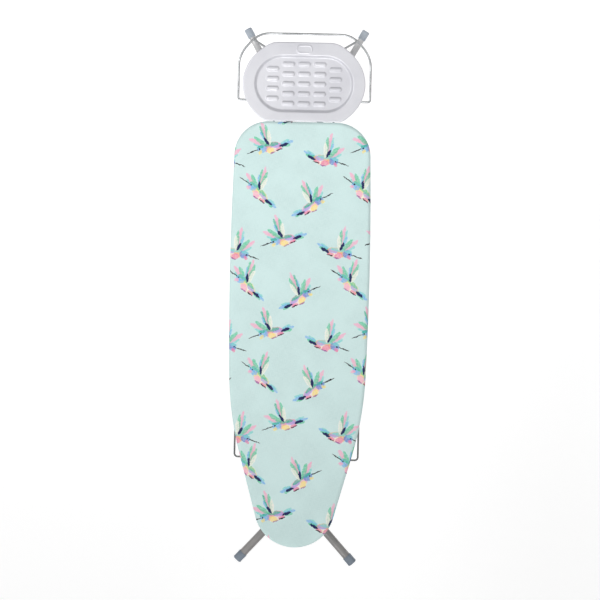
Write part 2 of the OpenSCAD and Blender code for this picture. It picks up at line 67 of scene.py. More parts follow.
class Graph:
    """A material, with its nodes put in and linked by short calls."""

    def __init__(self, name):
        self.material = bpy.data.materials.new(name)
        self.material.use_nodes = True
        self.tree = self.material.node_tree
        self.shader = self.tree.nodes["Principled BSDF"]

    def put(self, kind, inputs, **settings):
        node = self.tree.nodes.new("ShaderNode" + kind)
        for key, value in settings.items():
            setattr(node, key, value)
        for key, value in inputs.items():
            self.give(node.inputs[key], value)
        return node

    def give(self, socket, value):
        if isinstance(value, bpy.types.NodeSocket):
            self.tree.links.new(value, socket)
        else:
            socket.default_value = value

    def set(self, **sockets):
        for key, value in sockets.items():
            self.give(self.shader.inputs[key.replace("_", " ")], value)

    def math(self, operation, *values):
        return self.put("Math", dict(enumerate(values)), operation=operation).outputs[0]

    def vector(self, operation, *values):
        return self.put("VectorMath", dict(enumerate(values)), operation=operation).outputs[0]

    def noise(self, where, scale, detail=2.0):
        return self.put("TexNoise", {"Vector": where, "Scale": scale, "Detail": detail}).outputs["Fac"]

    def remap(self, value, low, high, to_low, to_high):
        limits = {0: value, 1: low, 2: high, 3: to_low, 4: to_high}
        return self.put("MapRange", limits, interpolation_type="SMOOTHSTEP").outputs[0]

    def mix(self, share, under, over):
        node = self.put("Mix", {}, data_type="RGBA")
        self.give(node.inputs[0], share)
        self.give(node.inputs[6], under)
        self.give(node.inputs[7], over)
        return node.outputs[2]

    def bump(self, height, strength, distance):
        return self.put("Bump", {"Height": height, "Strength": strength, "Distance": distance}).outputs[0]


def surface(name, colour, dark, metallic, roughness, patch, grain, depth=0.00003):
    """A finish with slow colour patches, roughness that follows them, and a fine grain in its relief."""
    g = Graph(name)
    place = g.put("TexCoord", {}).outputs["Object"]
    slow = g.noise(place, patch, 3.0)
    fine = g.noise(place, grain, 2.0)
    colours = g.mix(g.remap(slow, 0.3, 0.7, 0.0, 1.0), srgb(colour), srgb(dark))
    flecks = g.remap(fine, 0.35, 0.75, 0.0, 0.2)
    uneven = g.math("ADD", slow, g.math("MULTIPLY", fine, 0.6))
    g.set(
        Base_Color=g.mix(flecks, colours, srgb(dark)),
        Roughness=g.remap(uneven, 0.5, 1.1, roughness - 0.06, roughness + 0.08),
        Normal=g.bump(fine, 1.0, depth),
        Metallic=metallic,
    )
    return g.material


def piece(name, points, faces, material, body, slot, replaces):
    """A mesh object that rides on a body and stands for CAD nodes; points are in millimetres."""
    mesh = bpy.data.meshes.new(name)
    places = [tuple(float(c) * MM for c in p) for p in points]
    mesh.from_pydata(places, [], [tuple(map(int, f)) for f in faces])
    mesh.validate()
    work = bmesh.new()
    work.from_mesh(mesh)
    bmesh.ops.remove_doubles(work, verts=work.verts, dist=1e-6)
    bmesh.ops.recalc_face_normals(work, faces=work.faces)
    work.to_mesh(mesh)
    work.free()
    mesh.polygons.foreach_set("use_smooth", [True] * len(mesh.polygons))
    made = bpy.data.objects.new(name, mesh)
    scene.collection.objects.link(made)
    mesh.materials.append(material)
    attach(made, body)
    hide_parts(*replaces)
    return made


def sharp_by_angle(made, degrees):
    """Marks the edges sharper than an angle, so that smooth shading stops at them."""
    work = bmesh.new()
    work.from_mesh(made.data)
    for edge in work.edges:
        edge.smooth = len(edge.link_faces) == 2 and edge.calc_face_angle() < math.radians(degrees)
    work.to_mesh(made.data)
    work.free()


def bent(corners, closed=False, step=5):
    """Points of a path whose inner corners, (x, y, z, radius), are rounded."""
    last = len(corners)
    out = [] if closed else [Vector(corners[0][:3])]
    for i in range(last) if closed else range(1, last - 1):
        a, b, c = (Vector(corners[(i + k) % last][:3]) for k in (-1, 0, 1))
        u, v, r = (a - b).normalized(), (c - b).normalized(), corners[i][3]
        half = u.angle(v) / 2
        centre = b + (u + v).normalized() * r / math.sin(half)
        start = b + u * r / math.tan(half) - centre
        turn = math.pi - 2 * half
        count = max(3, math.ceil(math.degrees(turn) / step))
        axis = start.cross(b + v * r / math.tan(half) - centre).normalized()
        out += [centre + Quaternion(axis, turn * k / count) @ start for k in range(count + 1)]
    if not closed:
        out.append(Vector(corners[-1][:3]))
    return out


TUBE_WALL = 1.5
# Depth of the last two rings of the hollow in an open tube's end
HOLLOW, HOLLOW_END = 10, 14


def grid_faces(rows, around, closed=False):
    """Faces between rings of points that follow each other; closed joins the last ring to the first."""
    return [
        (i * around + k, i * around + (k + 1) % around,
         (i + 1) % rows * around + (k + 1) % around, (i + 1) % rows * around + k)
        for i in range(rows if closed else rows - 1)
        for k in range(around)
    ]


def sweep(path, radius, sides, closed=False, ends="round"):
    """Points and faces of a round bar along a path. ends is round, or open for a bar hollow at its ends."""
    count = len(path)
    tangents = []
    for i in range(count):
        before = path[i - 1] if closed or i else path[0]
        after = path[(i + 1) % count] if closed or i < count - 1 else path[-1]
        tangents.append((after - before).normalized())
    side = tangents[0].cross(Vector((0, 0, 1)))
    side = side.normalized() if side.length > 1e-3 else Vector((1, 0, 0))
    rings = []
    for place, along in zip(path, tangents):
        side = (side - along * side.dot(along)).normalized()
        rings.append((place, along, side, along.cross(side), radius))
    if not closed:
        stations = [(0.0, 1.0), (0.3, 0.95), (0.55, 0.82), (0.72, 0.6), (0.8, 0.3)]
        if ends == "open":
            inside = (radius - TUBE_WALL) / radius
            stations = [(0.0, 1.0), (0.2 / radius, 1 - 0.3 / radius), (0.2 / radius, inside + 0.2 / radius),
                        (0.0, inside), (-HOLLOW / radius, inside), (-HOLLOW_END / radius, inside)]
        caps = []
        for end, sign in ((0, -1), (-1, 1)):
            place, along, across, up, r = rings[end]
            if ends == "round":
                place = place - along * sign * 0.8 * r
                rings[end] = (place, along, across, up, r)
            caps.append([(place + along * sign * off * r, along, across, up, share * r)
                         for off, share in stations[1:]])
        rings = caps[0][::-1] + rings + caps[1]
    points = [
        place + r * (math.cos(2 * math.pi * k / sides) * across + math.sin(2 * math.pi * k / sides) * up)
        for place, _, across, up, r in rings
        for k in range(sides)
    ]
    total = len(rings)
    faces = grid_faces(total, sides, closed)
    if not closed:
        faces += [tuple(range(sides))[::-1], tuple((total - 1) * sides + k for k in range(sides))]
    return points, faces


def joined(parts):
    """Several lists of points and faces as one."""
    points, faces = [], []
    for some, few in parts:
        faces += [tuple(i + len(points) for i in f) for f in few]
        points += list(some)
    return points, faces


def mirrored(part):
    points, faces = part
    return [(-p[0], p[1], p[2]) for p in points], [tuple(f)[::-1] for f in faces]


# ---------------------------------------------------------------- sizes, in millimetres

END_Y, NOSE_ANGLE, NOSE_R, CORNER_R = 478.0, math.radians(15.4), 110.0, 92.0
TAPER_Y, TAPER_HALF, BOARD_HALF, END_HALF = -318.0, 182.9, 193.0, 182.3
NOSE_Y = TAPER_Y - TAPER_HALF / math.tan(NOSE_ANGLE)
RIM_Z, RIM_R, RIM_INSET = 61.0, 7.0, 8.2
ARM, REACH, ROD_Z, FOOT_Z = 420.0, 719.0, 38.0, 13.0
SLOPE = math.asin((ROD_Z - FOOT_Z) / (ARM + REACH))
PIN_Z = ROD_Z - ARM * math.sin(SLOPE)
WIRE_X, WIRE_LOW, WIRE_HIGH, WIRE_R = 81.0, 51.0, 60.0, 3.0

# ---------------------------------------------------------------- finishes

felt = surface("felt", "e9e3d4", "cfc7b4", 0.0, 0.92, patch=90, grain=1600, depth=0.0004)
deck_steel = surface("deck_steel", "b0b5b9", "9da3a7", 0.7, 0.42, patch=24, grain=500)
frame_paint = surface("frame_paint", "a3a5a6", "97999a", 0.35, 0.42, patch=20, grain=1400, depth=0.00005)
inner_paint = surface("inner_leg_paint", "999695", "8a8887", 0.3, 0.42, patch=14, grain=1400)
outer_paint = surface("outer_leg_paint", "d3d3d3", "c4c4c5", 0.25, 0.42, patch=14, grain=1400)
zinc = surface("zinc_steel", "c6c9cc", "aab0b5", 0.9, 0.33, patch=160, grain=900)
spring_steel = surface("spring_steel", "8d9093", "5f6265", 0.95, 0.3, patch=120, grain=1500)
bright_wire = surface("bright_wire", "c9cbcc", "a7a9ab", 0.95, 0.22, patch=40, grain=1500, depth=0.00001)
grey_wire = surface("grey_wire", "8c8d8e", "727374", 0.6, 0.38, patch=30, grain=1500)
nylon_white = surface("nylon_white", "e2e1dc", "cbc9c2", 0.0, 0.45, patch=50, grain=800)
nylon_black = surface("nylon_black", "34363a", "1f2124", 0.0, 0.5, patch=50, grain=800)
cap_plastic = surface("cap_plastic", "7f8a96", "6f7985", 0.0, 0.5, patch=30, grain=1300, depth=0.00008)
# The rest caps' plastic is the nose caps' plastic painted lighter, a painted highlight for the stronger light
# at the rest end
cap_plastic_painted_lighter = surface("cap_plastic_painted_lighter", "b0b8c1", "a1aab4", 0.0, 0.5, patch=30, grain=1300, depth=0.00008)
tray_metal = surface("tray_metal", "e0e0e5", "d0d0d6", 0.42, 0.42, patch=9, grain=1300, depth=0.00002)

# ---------------------------------------------------------------- the cover's print

PAINTS = {
    "teal": "2fb391", "leaf": "58c79b", "aqua": "7fd3cf", "sky": "78b2e6", "blue": "5d83cf",
    "lilac": "ab9ee2", "pink": "f5aac6", "rose": "ea7fa6", "plum": "8d3f95", "lemon": "f7de7e",
    "amber": "f4ad52", "navy": "1a2457", "ink": "14161f", "cream": "f3efe4",
}
# Share of its own length at which the middle of a fanned stroke lies from the fan's root
FAN_START = 0.52


def fan(root, angles, lengths, width, paints):
    """Brush strokes spread from one point: each is (x, y, angle, length, width, paint)."""
    strokes = []
    for a, l, p in zip(angles, lengths, paints):
        x = root[0] + FAN_START * l * math.cos(math.radians(a))
        y = root[1] + FAN_START * l * math.sin(math.radians(a))
        strokes.append((x, y, a, l, width, p))
    return strokes


def spread(limits, count):
    return [limits[0] + (limits[1] - limits[0]) * i / (count - 1) for i in range(count)]


def bird(heading, near, far, tail, wing, flip, paints):
    """A painted bird as brush strokes: drawn flying along +X, then turned to its heading.

    near, far and tail are the angles between which the feathers of each spread, and wing is a wing's length.
    """
    back, head, belly, patch = paints
    front = math.radians(near[0])
    root = (3 + 0.22 * wing * math.cos(front), 6 + 0.22 * wing * math.sin(front))
    strokes = fan((6, 4), spread(far, 3), [wing * k for k in (0.7, 0.95, 0.8)], 9.5, ["aqua", "pink", "leaf"])
    strokes += fan((-14, -3), spread(tail, 3), [26, 32, 25], 7.5, ["aqua", "sky", "leaf"])
    strokes += [(-2, -1, 12, 40, 22, belly), (0, -6, 6, 28, 12, "cream"), (-9, 0, 18, 21, 10, "lilac"),
                (5, -5, 35, 18, 13, patch), (-1, 6, 16, 32, 8, back), (-12, -9, 10, 14, 7, "rose")]
    strokes += fan((2, 5), spread(near, 5), [wing * k for k in (0.75, 1.0, 1.15, 0.95, 0.7)], 8.5,
                   ["sky", back, "pink", "leaf", "cream"])
    strokes += [(*root, near[0], 0.42 * wing, 6, "navy"), (-25, -6, (tail[0] + tail[1]) / 2, 20, 6.5, "navy"),
                (20, 6, 20, 20, 17, head), (21, 11, 15, 16, 6, back), (26, 1, -25, 10, 7, patch),
                (40, 9, 5, 27, 2.4, "ink"), (24.5, 7.5, 0, 3.6, 3.6, "ink"), (-12, -11, 8, 16, 2.4, "ink"),
                (3, -11, 6, 14, 3, "plum")]
    c, s = math.cos(math.radians(heading)), math.sin(math.radians(heading))
    return [(x * c - y * flip * s, x * s + y * flip * c, a * flip + heading, l, w, p)
            for x, y, a, l, w, p in strokes]


# Each bird with the place of one of its repeats, in millimetres; they are staggered and face both ways
PRINT = [
    ((0, 0), bird(20, (75, 105), (30, 55), (170, 195), 46, 1, ("teal", "blue", "pink", "lemon"))),
    ((140, 35), bird(150, (60, 90), (15, 40), (180, 200), 46, -1, ("leaf", "sky", "lemon", "pink"))),
    ((70, -125), bird(-25, (85, 115), (45, 70), (165, 185), 46, 1, ("aqua", "blue", "amber", "rose"))),
    ((210, -90), bird(205, (80, 110), (35, 60), (175, 200), 46, -1, ("teal", "sky", "rose", "lemon"))),
]
REPEAT_X, REPEAT_Y, ROW_SHIFT, PRINT_LEAN, PRINT_SCALE = 280.0, 250.0, 35.0, -0.03, 1.3
STITCH_PITCH, STITCH_DASH, STITCH_HALF = 4.0, 2.7, 0.5


def cotton():
    """Printed cotton: mint ground with a woven slub, and birds laid in the cloth's own flat coordinates."""
    g = Graph("printed_cotton")
    flat = g.put("Attribute", {}, attribute_name="flat").outputs["Vector"]
    cut = g.put("Attribute", {}, attribute_name="cut").outputs["Vector"]
    millimetres = g.vector("SCALE", flat)
    millimetres.node.inputs["Scale"].default_value = 1000.0
    blots = g.put("TexNoise", {"Vector": millimetres, "Scale": 0.14, "Detail": 2.0}).outputs["Color"]
    fringe = g.put("TexNoise", {"Vector": millimetres, "Scale": 0.5, "Detail": 1.0}).outputs["Color"]
    shifted = millimetres
    for waver, reach in ((blots, 6.0), (fringe, 2.6)):
        centred = g.vector("SUBTRACT", waver, (0.5, 0.5, 0.5))
        shifted = g.vector("MULTIPLY_ADD", centred, (reach, reach, 0.0), shifted)
    leaned = g.put("Mapping", {"Vector": shifted, "Rotation": (0, 0, PRINT_LEAN)}).outputs[0]
    axes = g.put("SeparateXYZ", {"Vector": leaned})

    threads = g.put("Mapping", {"Vector": millimetres, "Scale": (0.05, 0.9, 1)}).outputs[0]
    picks = g.put("Mapping", {"Vector": millimetres, "Scale": (0.9, 0.05, 1)}).outputs[0]
    slub = g.math("ADD", g.noise(threads, 1.6, 3.0), g.noise(picks, 1.6, 3.0))
    patches = g.noise(millimetres, 0.012, 2.0)
    ground = g.mix(g.remap(slub, 0.75, 1.25, 0.0, 1.0), srgb("cfe5e3"), srgb("c3dcda"))
    colour = g.mix(g.remap(patches, 0.35, 0.65, 0.0, 0.5), ground, srgb("d2eae8"))

    streaks = g.math("MULTIPLY", g.noise(millimetres, 0.6, 1.0), 0.5)
    wash = g.math("ADD", g.noise(millimetres, 0.2, 2.0), streaks)
    strength = g.remap(wash, 0.5, 1.0, 0.5, 0.95)
    for (x, y), strokes in PRINT:
        row = g.math("DIVIDE", g.math("SUBTRACT", axes.outputs[1], float(y)), REPEAT_Y)
        nearest = g.math("ROUND", row)
        down = g.math("MULTIPLY", g.math("SUBTRACT", row, nearest), REPEAT_Y)
        odd = g.math("MULTIPLY", g.math("FLOORED_MODULO", nearest, 2.0), ROW_SHIFT)
        across = g.math("WRAP", g.math("SUBTRACT", g.math("SUBTRACT", axes.outputs[0], float(x)), odd),
                        REPEAT_X / 2, -REPEAT_X / 2)
        here = g.put("CombineXYZ", {0: across, 1: down}).outputs[0]
        for sx, sy, angle, length, width, paint in strokes:
            local = g.put(
                "Mapping",
                {
                    "Vector": here,
                    "Location": (sx * PRINT_SCALE, sy * PRINT_SCALE, 0),
                    "Rotation": (0, 0, math.radians(angle)),
                    "Scale": (length / 2 * PRINT_SCALE, width / 2 * PRINT_SCALE, 1),
                },
                vector_type="TEXTURE",
            ).outputs[0]
            blob = g.put("TexGradient", {"Vector": local}, gradient_type="SPHERICAL").outputs["Fac"]
            mask = g.remap(blob, 0.0, 0.1, 0.0, 1.0)
            if paint not in ("ink", "navy"):
                mask = g.math("MULTIPLY", mask, strength)
            colour = g.mix(mask, colour, srgb(PAINTS[paint]))

    run = g.put("SeparateXYZ", {"Vector": cut})
    in_row = g.math("COMPARE", run.outputs[1], STITCH_LINE * MM, STITCH_HALF * MM)
    dash = g.math("LESS_THAN", g.math("FLOORED_MODULO", run.outputs[0], STITCH_PITCH * MM), STITCH_DASH * MM)
    stitch = g.math("MULTIPLY", in_row, dash)
    colour = g.mix(stitch, colour, srgb("f4f7f5"))
    bands = {"Vector": millimetres, "Scale": 0.42, "Distortion": 0.6}
    weave = g.math("MAXIMUM", *(g.put("TexWave", bands, bands_direction=way).outputs["Fac"] for way in "XY"))
    woven = g.math("ADD", weave, g.math("MULTIPLY", slub, 0.8))
    height = g.math("ADD", woven, g.math("MULTIPLY", stitch, 3.0))
    g.set(
        Base_Color=colour,
        Roughness=g.remap(slub, 0.7, 1.3, 0.78, 0.92),
        Normal=g.bump(height, 0.5, 0.00012),
        Sheen_Weight=0.15,
        Sheen_Roughness=0.5,
    )
    return g.material


# ---------------------------------------------------------------- the board's outline

# Corners as (x, y, radius, steps round the corner)
CORNERS = [(END_HALF, END_Y, CORNER_R, 26), (BOARD_HALF, 60.0, 9000.0, 60), (TAPER_HALF, TAPER_Y, 900.0, 56)]
CORNERS += [(0.0, NOSE_Y, NOSE_R, 90)] + [(-x, y, r, n) for x, y, r, n in CORNERS[::-1]]
STRAIGHTS = [50, 32, 50, 50, 32, 50, 44]  # points on the straight side after each corner


def outline(inset):
    """The board's outline, moved inwards, as points and outward directions; its count is always the same."""
    count = len(CORNERS)
    moved = []
    for i in range(count):
        before, here, after = (np.array(CORNERS[(i + k) % count][:2]) for k in (-1, 0, 1))
        u, v = (before - here) / np.linalg.norm(before - here), (after - here) / np.linalg.norm(after - here)
        half = math.acos(float(u @ v)) / 2
        shifted = here + (u + v) / np.linalg.norm(u + v) * inset / math.sin(half)
        moved.append((shifted, u, v, half, CORNERS[i][2] - inset))
    points, normals = [], []
    for i, (here, u, v, half, r) in enumerate(moved):
        centre = here + (u + v) / np.linalg.norm(u + v) * r / math.sin(half)
        start, stop = here + u * r / math.tan(half) - centre, here + v * r / math.tan(half) - centre
        first = math.atan2(start[1], start[0])
        turn = (math.atan2(stop[1], stop[0]) - first + math.pi) % (2 * math.pi) - math.pi
        for k in range(CORNERS[i][3] + 1):
            a = first + turn * k / CORNERS[i][3]
            direction = np.array([math.cos(a), math.sin(a)])
            points.append(centre + r * direction)
            normals.append(direction)
        onward, next_u, _, next_half, next_r = moved[(i + 1) % count]
        target = onward + next_u * next_r / math.tan(next_half)
        last, direction = points[-1], normals[-1]
        for k in range(1, STRAIGHTS[i] + 1):
            points.append(last + (target - last) * k / (STRAIGHTS[i] + 1))
            normals.append(direction)
    return np.array(points), np.array(normals)


EDGE, OUTWARD = outline(0.0)
AROUND = len(EDGE)
RUN = np.concatenate([[0], np.cumsum(np.linalg.norm(np.diff(EDGE, axis=0), axis=1))])
# How sharply the outline turns at each point, from 0 where it is straight to 1 at a radius of TIGHT or less
TIGHT, BLUR_PASSES = 100, 30
TURNING = np.clip(np.linalg.norm(np.roll(OUTWARD, -1, 0) - np.roll(OUTWARD, 1, 0), axis=1)
                  / np.linalg.norm(np.roll(EDGE, -1, 0) - np.roll(EDGE, 1, 0), axis=1) * TIGHT, 0, 1)
for _ in range(BLUR_PASSES):
    TURNING = (np.roll(TURNING, 1) + TURNING + np.roll(TURNING, -1)) / 3

COVER_TOP, EDGE_ROUND, SIDE_INSET, CLOTH, WRAP_GAP = 75.42, 9.0, 0.25, 0.6, 0.85
# The part of the board's middle line that the cover's and the felt's rings close on
SPINE = (-520.0, 380.0)
# The cloth under the rim up to its hem, as (inset, rise above the lowest cloth)
UNDERSIDE = [(10.5, 0.0), (13.0, 0.0), (16.0, 0.1), (19.0, 0.2), (21.5, 0.3),
             (23.4, 0.6), (24.3, 1.6), (24.0, 2.8), (22.7, 3.4), (21.2, 3.0)]
STITCHED_ROW = -8
# Rows of the top and how they bunch towards its edge
TOP_ROWS, BUNCHING = 30, 1.15
# The top's waves fade over the first length of cloth past it; the gathers grow from the second one on
WAVES_END, GATHERS_START = 12, 8
# The underside's gathers: first inset and lift. The side's gathers: how far they stand out, and last inset
LIFT_INSET, LIFT, SIDE_GATHER, SIDE_END = 12, 2.1, 0.55, 4
# The gaps in the hem that the tray's wires pass through
SLIT_HALF, SLIT_START, SLIT_TOP = 5, 440, 55.4
FELT_UNDER, FELT_TOP, FELT_LIMIT, FELT_INSET, FELT_ROUND_GAP, FELT_RINGS = 69.25, 74.62, 74.78, 30.0, 0.8, 16
# The felt has the top's waves from this height up
FELT_SIDE_TOP = 72


def towards_spine(x, y, share):
    """A point of the outline, moved a share of its way to the board's middle line."""
    spine_y = min(max(y, SPINE[0]), SPINE[1])
    return x * (1 - share), y + (spine_y - y) * share


def undulation(x, y):
    """The small waves that a stretched cover keeps over its felt."""
    broad = noise.noise(Vector((x / 55, y / 90, 3.1)))
    return 0.24 * broad + 0.09 * noise.noise(Vector((x / 17, y / 24, 7.7)))


def ripple(i):
    """Gathering waves along the outline, from -1 to 1."""
    where = Vector((float(OUTWARD[i, 0]) * 9 + float(EDGE[i, 0]) / 34, float(EDGE[i, 1]) / 34, 2.5))
    phase = float(RUN[i]) / 19 * 2 * math.pi + 3.4 * noise.noise(where * 0.35)
    return math.sin(phase) * (0.65 + 0.35 * noise.noise(where * 0.9))


def cover_profile():
    """The cover's section from the top face to the hem, as (inset, height, length of cloth past the top)."""
    rows = []
    for k in range(9):
        a = math.radians(90 * k / 8)
        inset = SIDE_INSET + EDGE_ROUND * (1 - math.sin(a))
        rows.append((inset, COVER_TOP - EDGE_ROUND * (1 - math.cos(a))))
    rows += [(SIDE_INSET + 0.1, 64.2), (SIDE_INSET + 0.2, 62.0)]
    wrap = RIM_R + WRAP_GAP
    for k in range(1, 8):
        a = math.radians(90 * k / 7)
        rows.append((RIM_INSET - wrap * math.cos(a), RIM_Z - wrap * math.sin(a)))
    rows += [(inset, RIM_Z - wrap + rise) for inset, rise in UNDERSIDE]
    lengths = [0.0]
    for a, b in zip(rows, rows[1:]):
        lengths.append(lengths[-1] + math.hypot(b[0] - a[0], b[1] - a[1]))
    return [(inset, z, s) for (inset, z), s in zip(rows, lengths)]


PROFILE = cover_profile()
STITCH_LINE = PROFILE[STITCHED_ROW][2]


def make_cover(material):
    """The cover as one sheet, with two coordinates for its material.

    flat is where a point lies when the cloth is spread out. cut is the run round the edge and the length of
    cloth past the top, and is far from the stitches on the top itself.
    """
    ring, _ = outline(PROFILE[0][0])
    hem = PROFILE[-1][2]
    points, flat, cut = [], [], []
    for k in range(TOP_ROWS, 0, -1):
        share = (k / TOP_ROWS) ** BUNCHING
        for i in range(AROUND):
            x, y = towards_spine(*ring[i], share)
            points.append((x, y, COVER_TOP + undulation(x, y)))
            flat.append((x, y, 0))
            cut.append((RUN[i], -1000.0 * share, 0))
    for inset, z, length in PROFILE:
        places, outward = outline(inset)
        under = max(0.0, (length - GATHERS_START) / (hem - GATHERS_START))
        for i in range(AROUND):
            gather = (0.35 + 0.65 * TURNING[i]) * ripple(i)
            swell = undulation(*places[i]) * max(0.0, 1 - length / WAVES_END)
            bulge = SIDE_GATHER * under * gather if inset < SIDE_END else 0.0
            x, y = places[i] + outward[i] * min(SIDE_INSET, bulge)
            lift = max(0.0, inset - LIFT_INSET) / LIFT_INSET * LIFT * (0.5 + 0.5 * gather)
            points.append((x, y, z + swell + lift))
            spread_out = ring[i] + outward[i] * length
            flat.append((spread_out[0], spread_out[1], 0))
            cut.append((RUN[i], length, 0))
    faces = []
    for face in grid_faces(TOP_ROWS + len(PROFILE), AROUND):
        x, y, z = np.mean([points[k] for k in face], axis=0)
        if not (abs(abs(x) - WIRE_X) < SLIT_HALF and y > SLIT_START and z < SLIT_TOP):
            faces.append(face)
    mesh = bpy.data.meshes.new("cover_cloth")
    mesh.from_pydata([tuple(float(c) * MM for c in p) for p in points], [], faces)
    for name, values in (("flat", flat), ("cut", cut)):
        layer = mesh.attributes.new(name, "FLOAT_VECTOR", "POINT")
        layer.data.foreach_set("vector", (np.array(values, float) * MM).ravel())
    work = bmesh.new()
    work.from_mesh(mesh)
    bmesh.ops.remove_doubles(work, verts=work.verts, dist=2e-5)
    loose = [v for v in work.verts if not v.link_faces]
    bmesh.ops.delete(work, geom=loose, context="VERTS")
    bmesh.ops.recalc_face_normals(work, faces=work.faces)
    work.to_mesh(mesh)
    work.free()
    mesh.polygons.foreach_set("use_smooth", [True] * len(mesh.polygons))
    made = bpy.data.objects.new("cover_cloth", mesh)
    scene.collection.objects.link(made)
    mesh.materials.append(material)
    solid = made.modifiers.new("thickness", "SOLIDIFY")
    solid.thickness, solid.offset = CLOTH * MM, -1
    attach(made, "deck")
    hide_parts("cover")
    grown, _ = outline(PROFILE[0][0] - hem)
    x, y = grown[:, 0] * MM, grown[:, 1] * MM


def make_padding():
    bend = EDGE_ROUND - FELT_ROUND_GAP
    rows = [(FELT_INSET, FELT_UNDER), (8.0, FELT_UNDER), (2.4, FELT_UNDER), (1.6, FELT_UNDER + 0.15)]
    rows += [(SIDE_INSET + EDGE_ROUND - bend * math.sin(a), COVER_TOP - EDGE_ROUND + bend * math.cos(a))
             for a in np.radians([64, 54, 44, 34, 24, 14, 5])]
    points = []
    for inset, z in rows:
        for x, y in outline(inset)[0]:
            top = undulation(x, y) if z > FELT_SIDE_TOP else 0.0
            points.append((x, y, min(z + top, FELT_LIMIT)))
    inner, _ = outline(rows[-1][0])
    for k in range(1, FELT_RINGS + 1):
        for corner in inner:
            x, y = towards_spine(*corner, k / FELT_RINGS)
            points.append((x, y, min(FELT_TOP + undulation(x, y), FELT_LIMIT)))
    lower, _ = outline(FELT_INSET)
    below = [(*towards_spine(*corner, k / FELT_RINGS), FELT_UNDER)
             for k in range(FELT_RINGS, 0, -1) for corner in lower]
    points = below + points
    faces = grid_faces(len(points) // AROUND, AROUND)
    made = piece("felt_pad", points, faces, felt, "deck", "felt", ["padding"])


# ---------------------------------------------------------------- the deck's frame

rim = sweep([Vector((x, y, RIM_Z)) for x, y in outline(RIM_INSET)[0]], RIM_R, 24, closed=True)
piece("rim_loop", *rim, frame_paint, "deck", "frame_paint", ["rim_tube"])
make_padding()
make_cover(cotton())

# ---------------------------------------------------------------- the iron rest

TRAY_HALF, TRAY_BULGE, TRAY_Y, TRAY_NEAR, TRAY_FAR = 166.0, 130.0, 580.0, 479.2, 692.0
TRAY_TOP, TRAY_FLOOR, TRAY_SHEET = 72.0, 64.2, 0.7
RECESS_HALF, RECESS_R = 132.0, 74.5
PAD_HALF, PAD_R, PAD_H = 17.5, 6.5, 3.5
PAD_STEP_X, PAD_STEP_Y = 42.5, 26.5
BADGE_Y, BADGE_HALF, BADGE_R = 673.0, 21.5, 11.0
NEAR_R, FAR_R, NEAR_BLEND, FAR_BLEND = 30.0, 60.0, 8.0, 7.5
# Where a wall begins and ends, as distances inside its outline
RECESS_WALL, PAD_WALL, BADGE_WALL, BADGE_DIP_WALL = (-3.5, 5.5), (-1.2, 4.2), (-1.5, 1.0), (1.4, 3.4)
BADGE_H, BADGE_DIP = 1.8, 1.4
EDGE_R, SKIRT_Z, BEAD_R, BEAD_Z = 3.0, 67.6, 1.5, 66.5
SIDE_POINTS, MESH_ACROSS, MESH_ALONG = 120, 260, 166


def into_stadium(x, y, half, r):
    """Distance inside the edge of a shape with half-round ends."""
    return r - np.hypot(np.maximum(np.abs(x) - (half - r), 0), y)


def tray_height(x, y):
    """Height of the tray's top face: a recess, its pads in five columns, and the badge's dished oval."""
    z = np.full_like(x, TRAY_TOP)
    z = z - (TRAY_TOP - TRAY_FLOOR) * smooth(*RECESS_WALL, into_stadium(x, y - TRAY_Y, RECESS_HALF, RECESS_R))
    for column in range(-2, 3):
        last = 1.5 if abs(column) == 2 else 2.0
        for k in range(int(2 * last) + 1):
            pad_y = y - TRAY_Y - (k - last) * PAD_STEP_Y
            inside = into_stadium(x - column * PAD_STEP_X, pad_y, PAD_HALF, PAD_R)
            z = z + PAD_H * smooth(*PAD_WALL, inside)
    inside = into_stadium(x, y - BADGE_Y, BADGE_HALF, BADGE_R)
    return z + BADGE_H * smooth(*BADGE_WALL, inside) - BADGE_DIP * smooth(*BADGE_DIP_WALL, inside)


def tray_half_at(y):
    return TRAY_HALF * math.sqrt(1 - ((y - TRAY_Y) / TRAY_BULGE) ** 2)


def tray_edge(inset):
    """The +X half of the tray's edge, moved inwards: near corner, side and far corner as (x, y) arrays."""
    low, high = TRAY_NEAR + NEAR_BLEND, TRAY_FAR - FAR_BLEND
    near_corner = (tray_half_at(TRAY_NEAR), TRAY_NEAR, 0, NEAR_R)
    far_corner = (tray_half_at(TRAY_FAR), TRAY_FAR, 0, FAR_R)
    near = bent([(0, TRAY_NEAR, 0), near_corner, (tray_half_at(low), low, 0)], step=2)
    far = bent([(tray_half_at(high), high, 0), far_corner, (0, TRAY_FAR, 0)], step=2)
    side = [(tray_half_at(y), y) for y in np.linspace(low, high, SIDE_POINTS)]
    line = np.array([p[:2] for p in near[:-1]] + side + [p[:2] for p in far[1:]])
    ahead = np.gradient(line, axis=0)
    ahead /= np.linalg.norm(ahead, axis=1)[:, None]
    line = line - inset * np.stack([ahead[:, 1], -ahead[:, 0]], 1)
    start = len(near) - 1
    stop = start + SIDE_POINTS
    return line[: start + 1], line[start:stop], line[stop - 1 :]


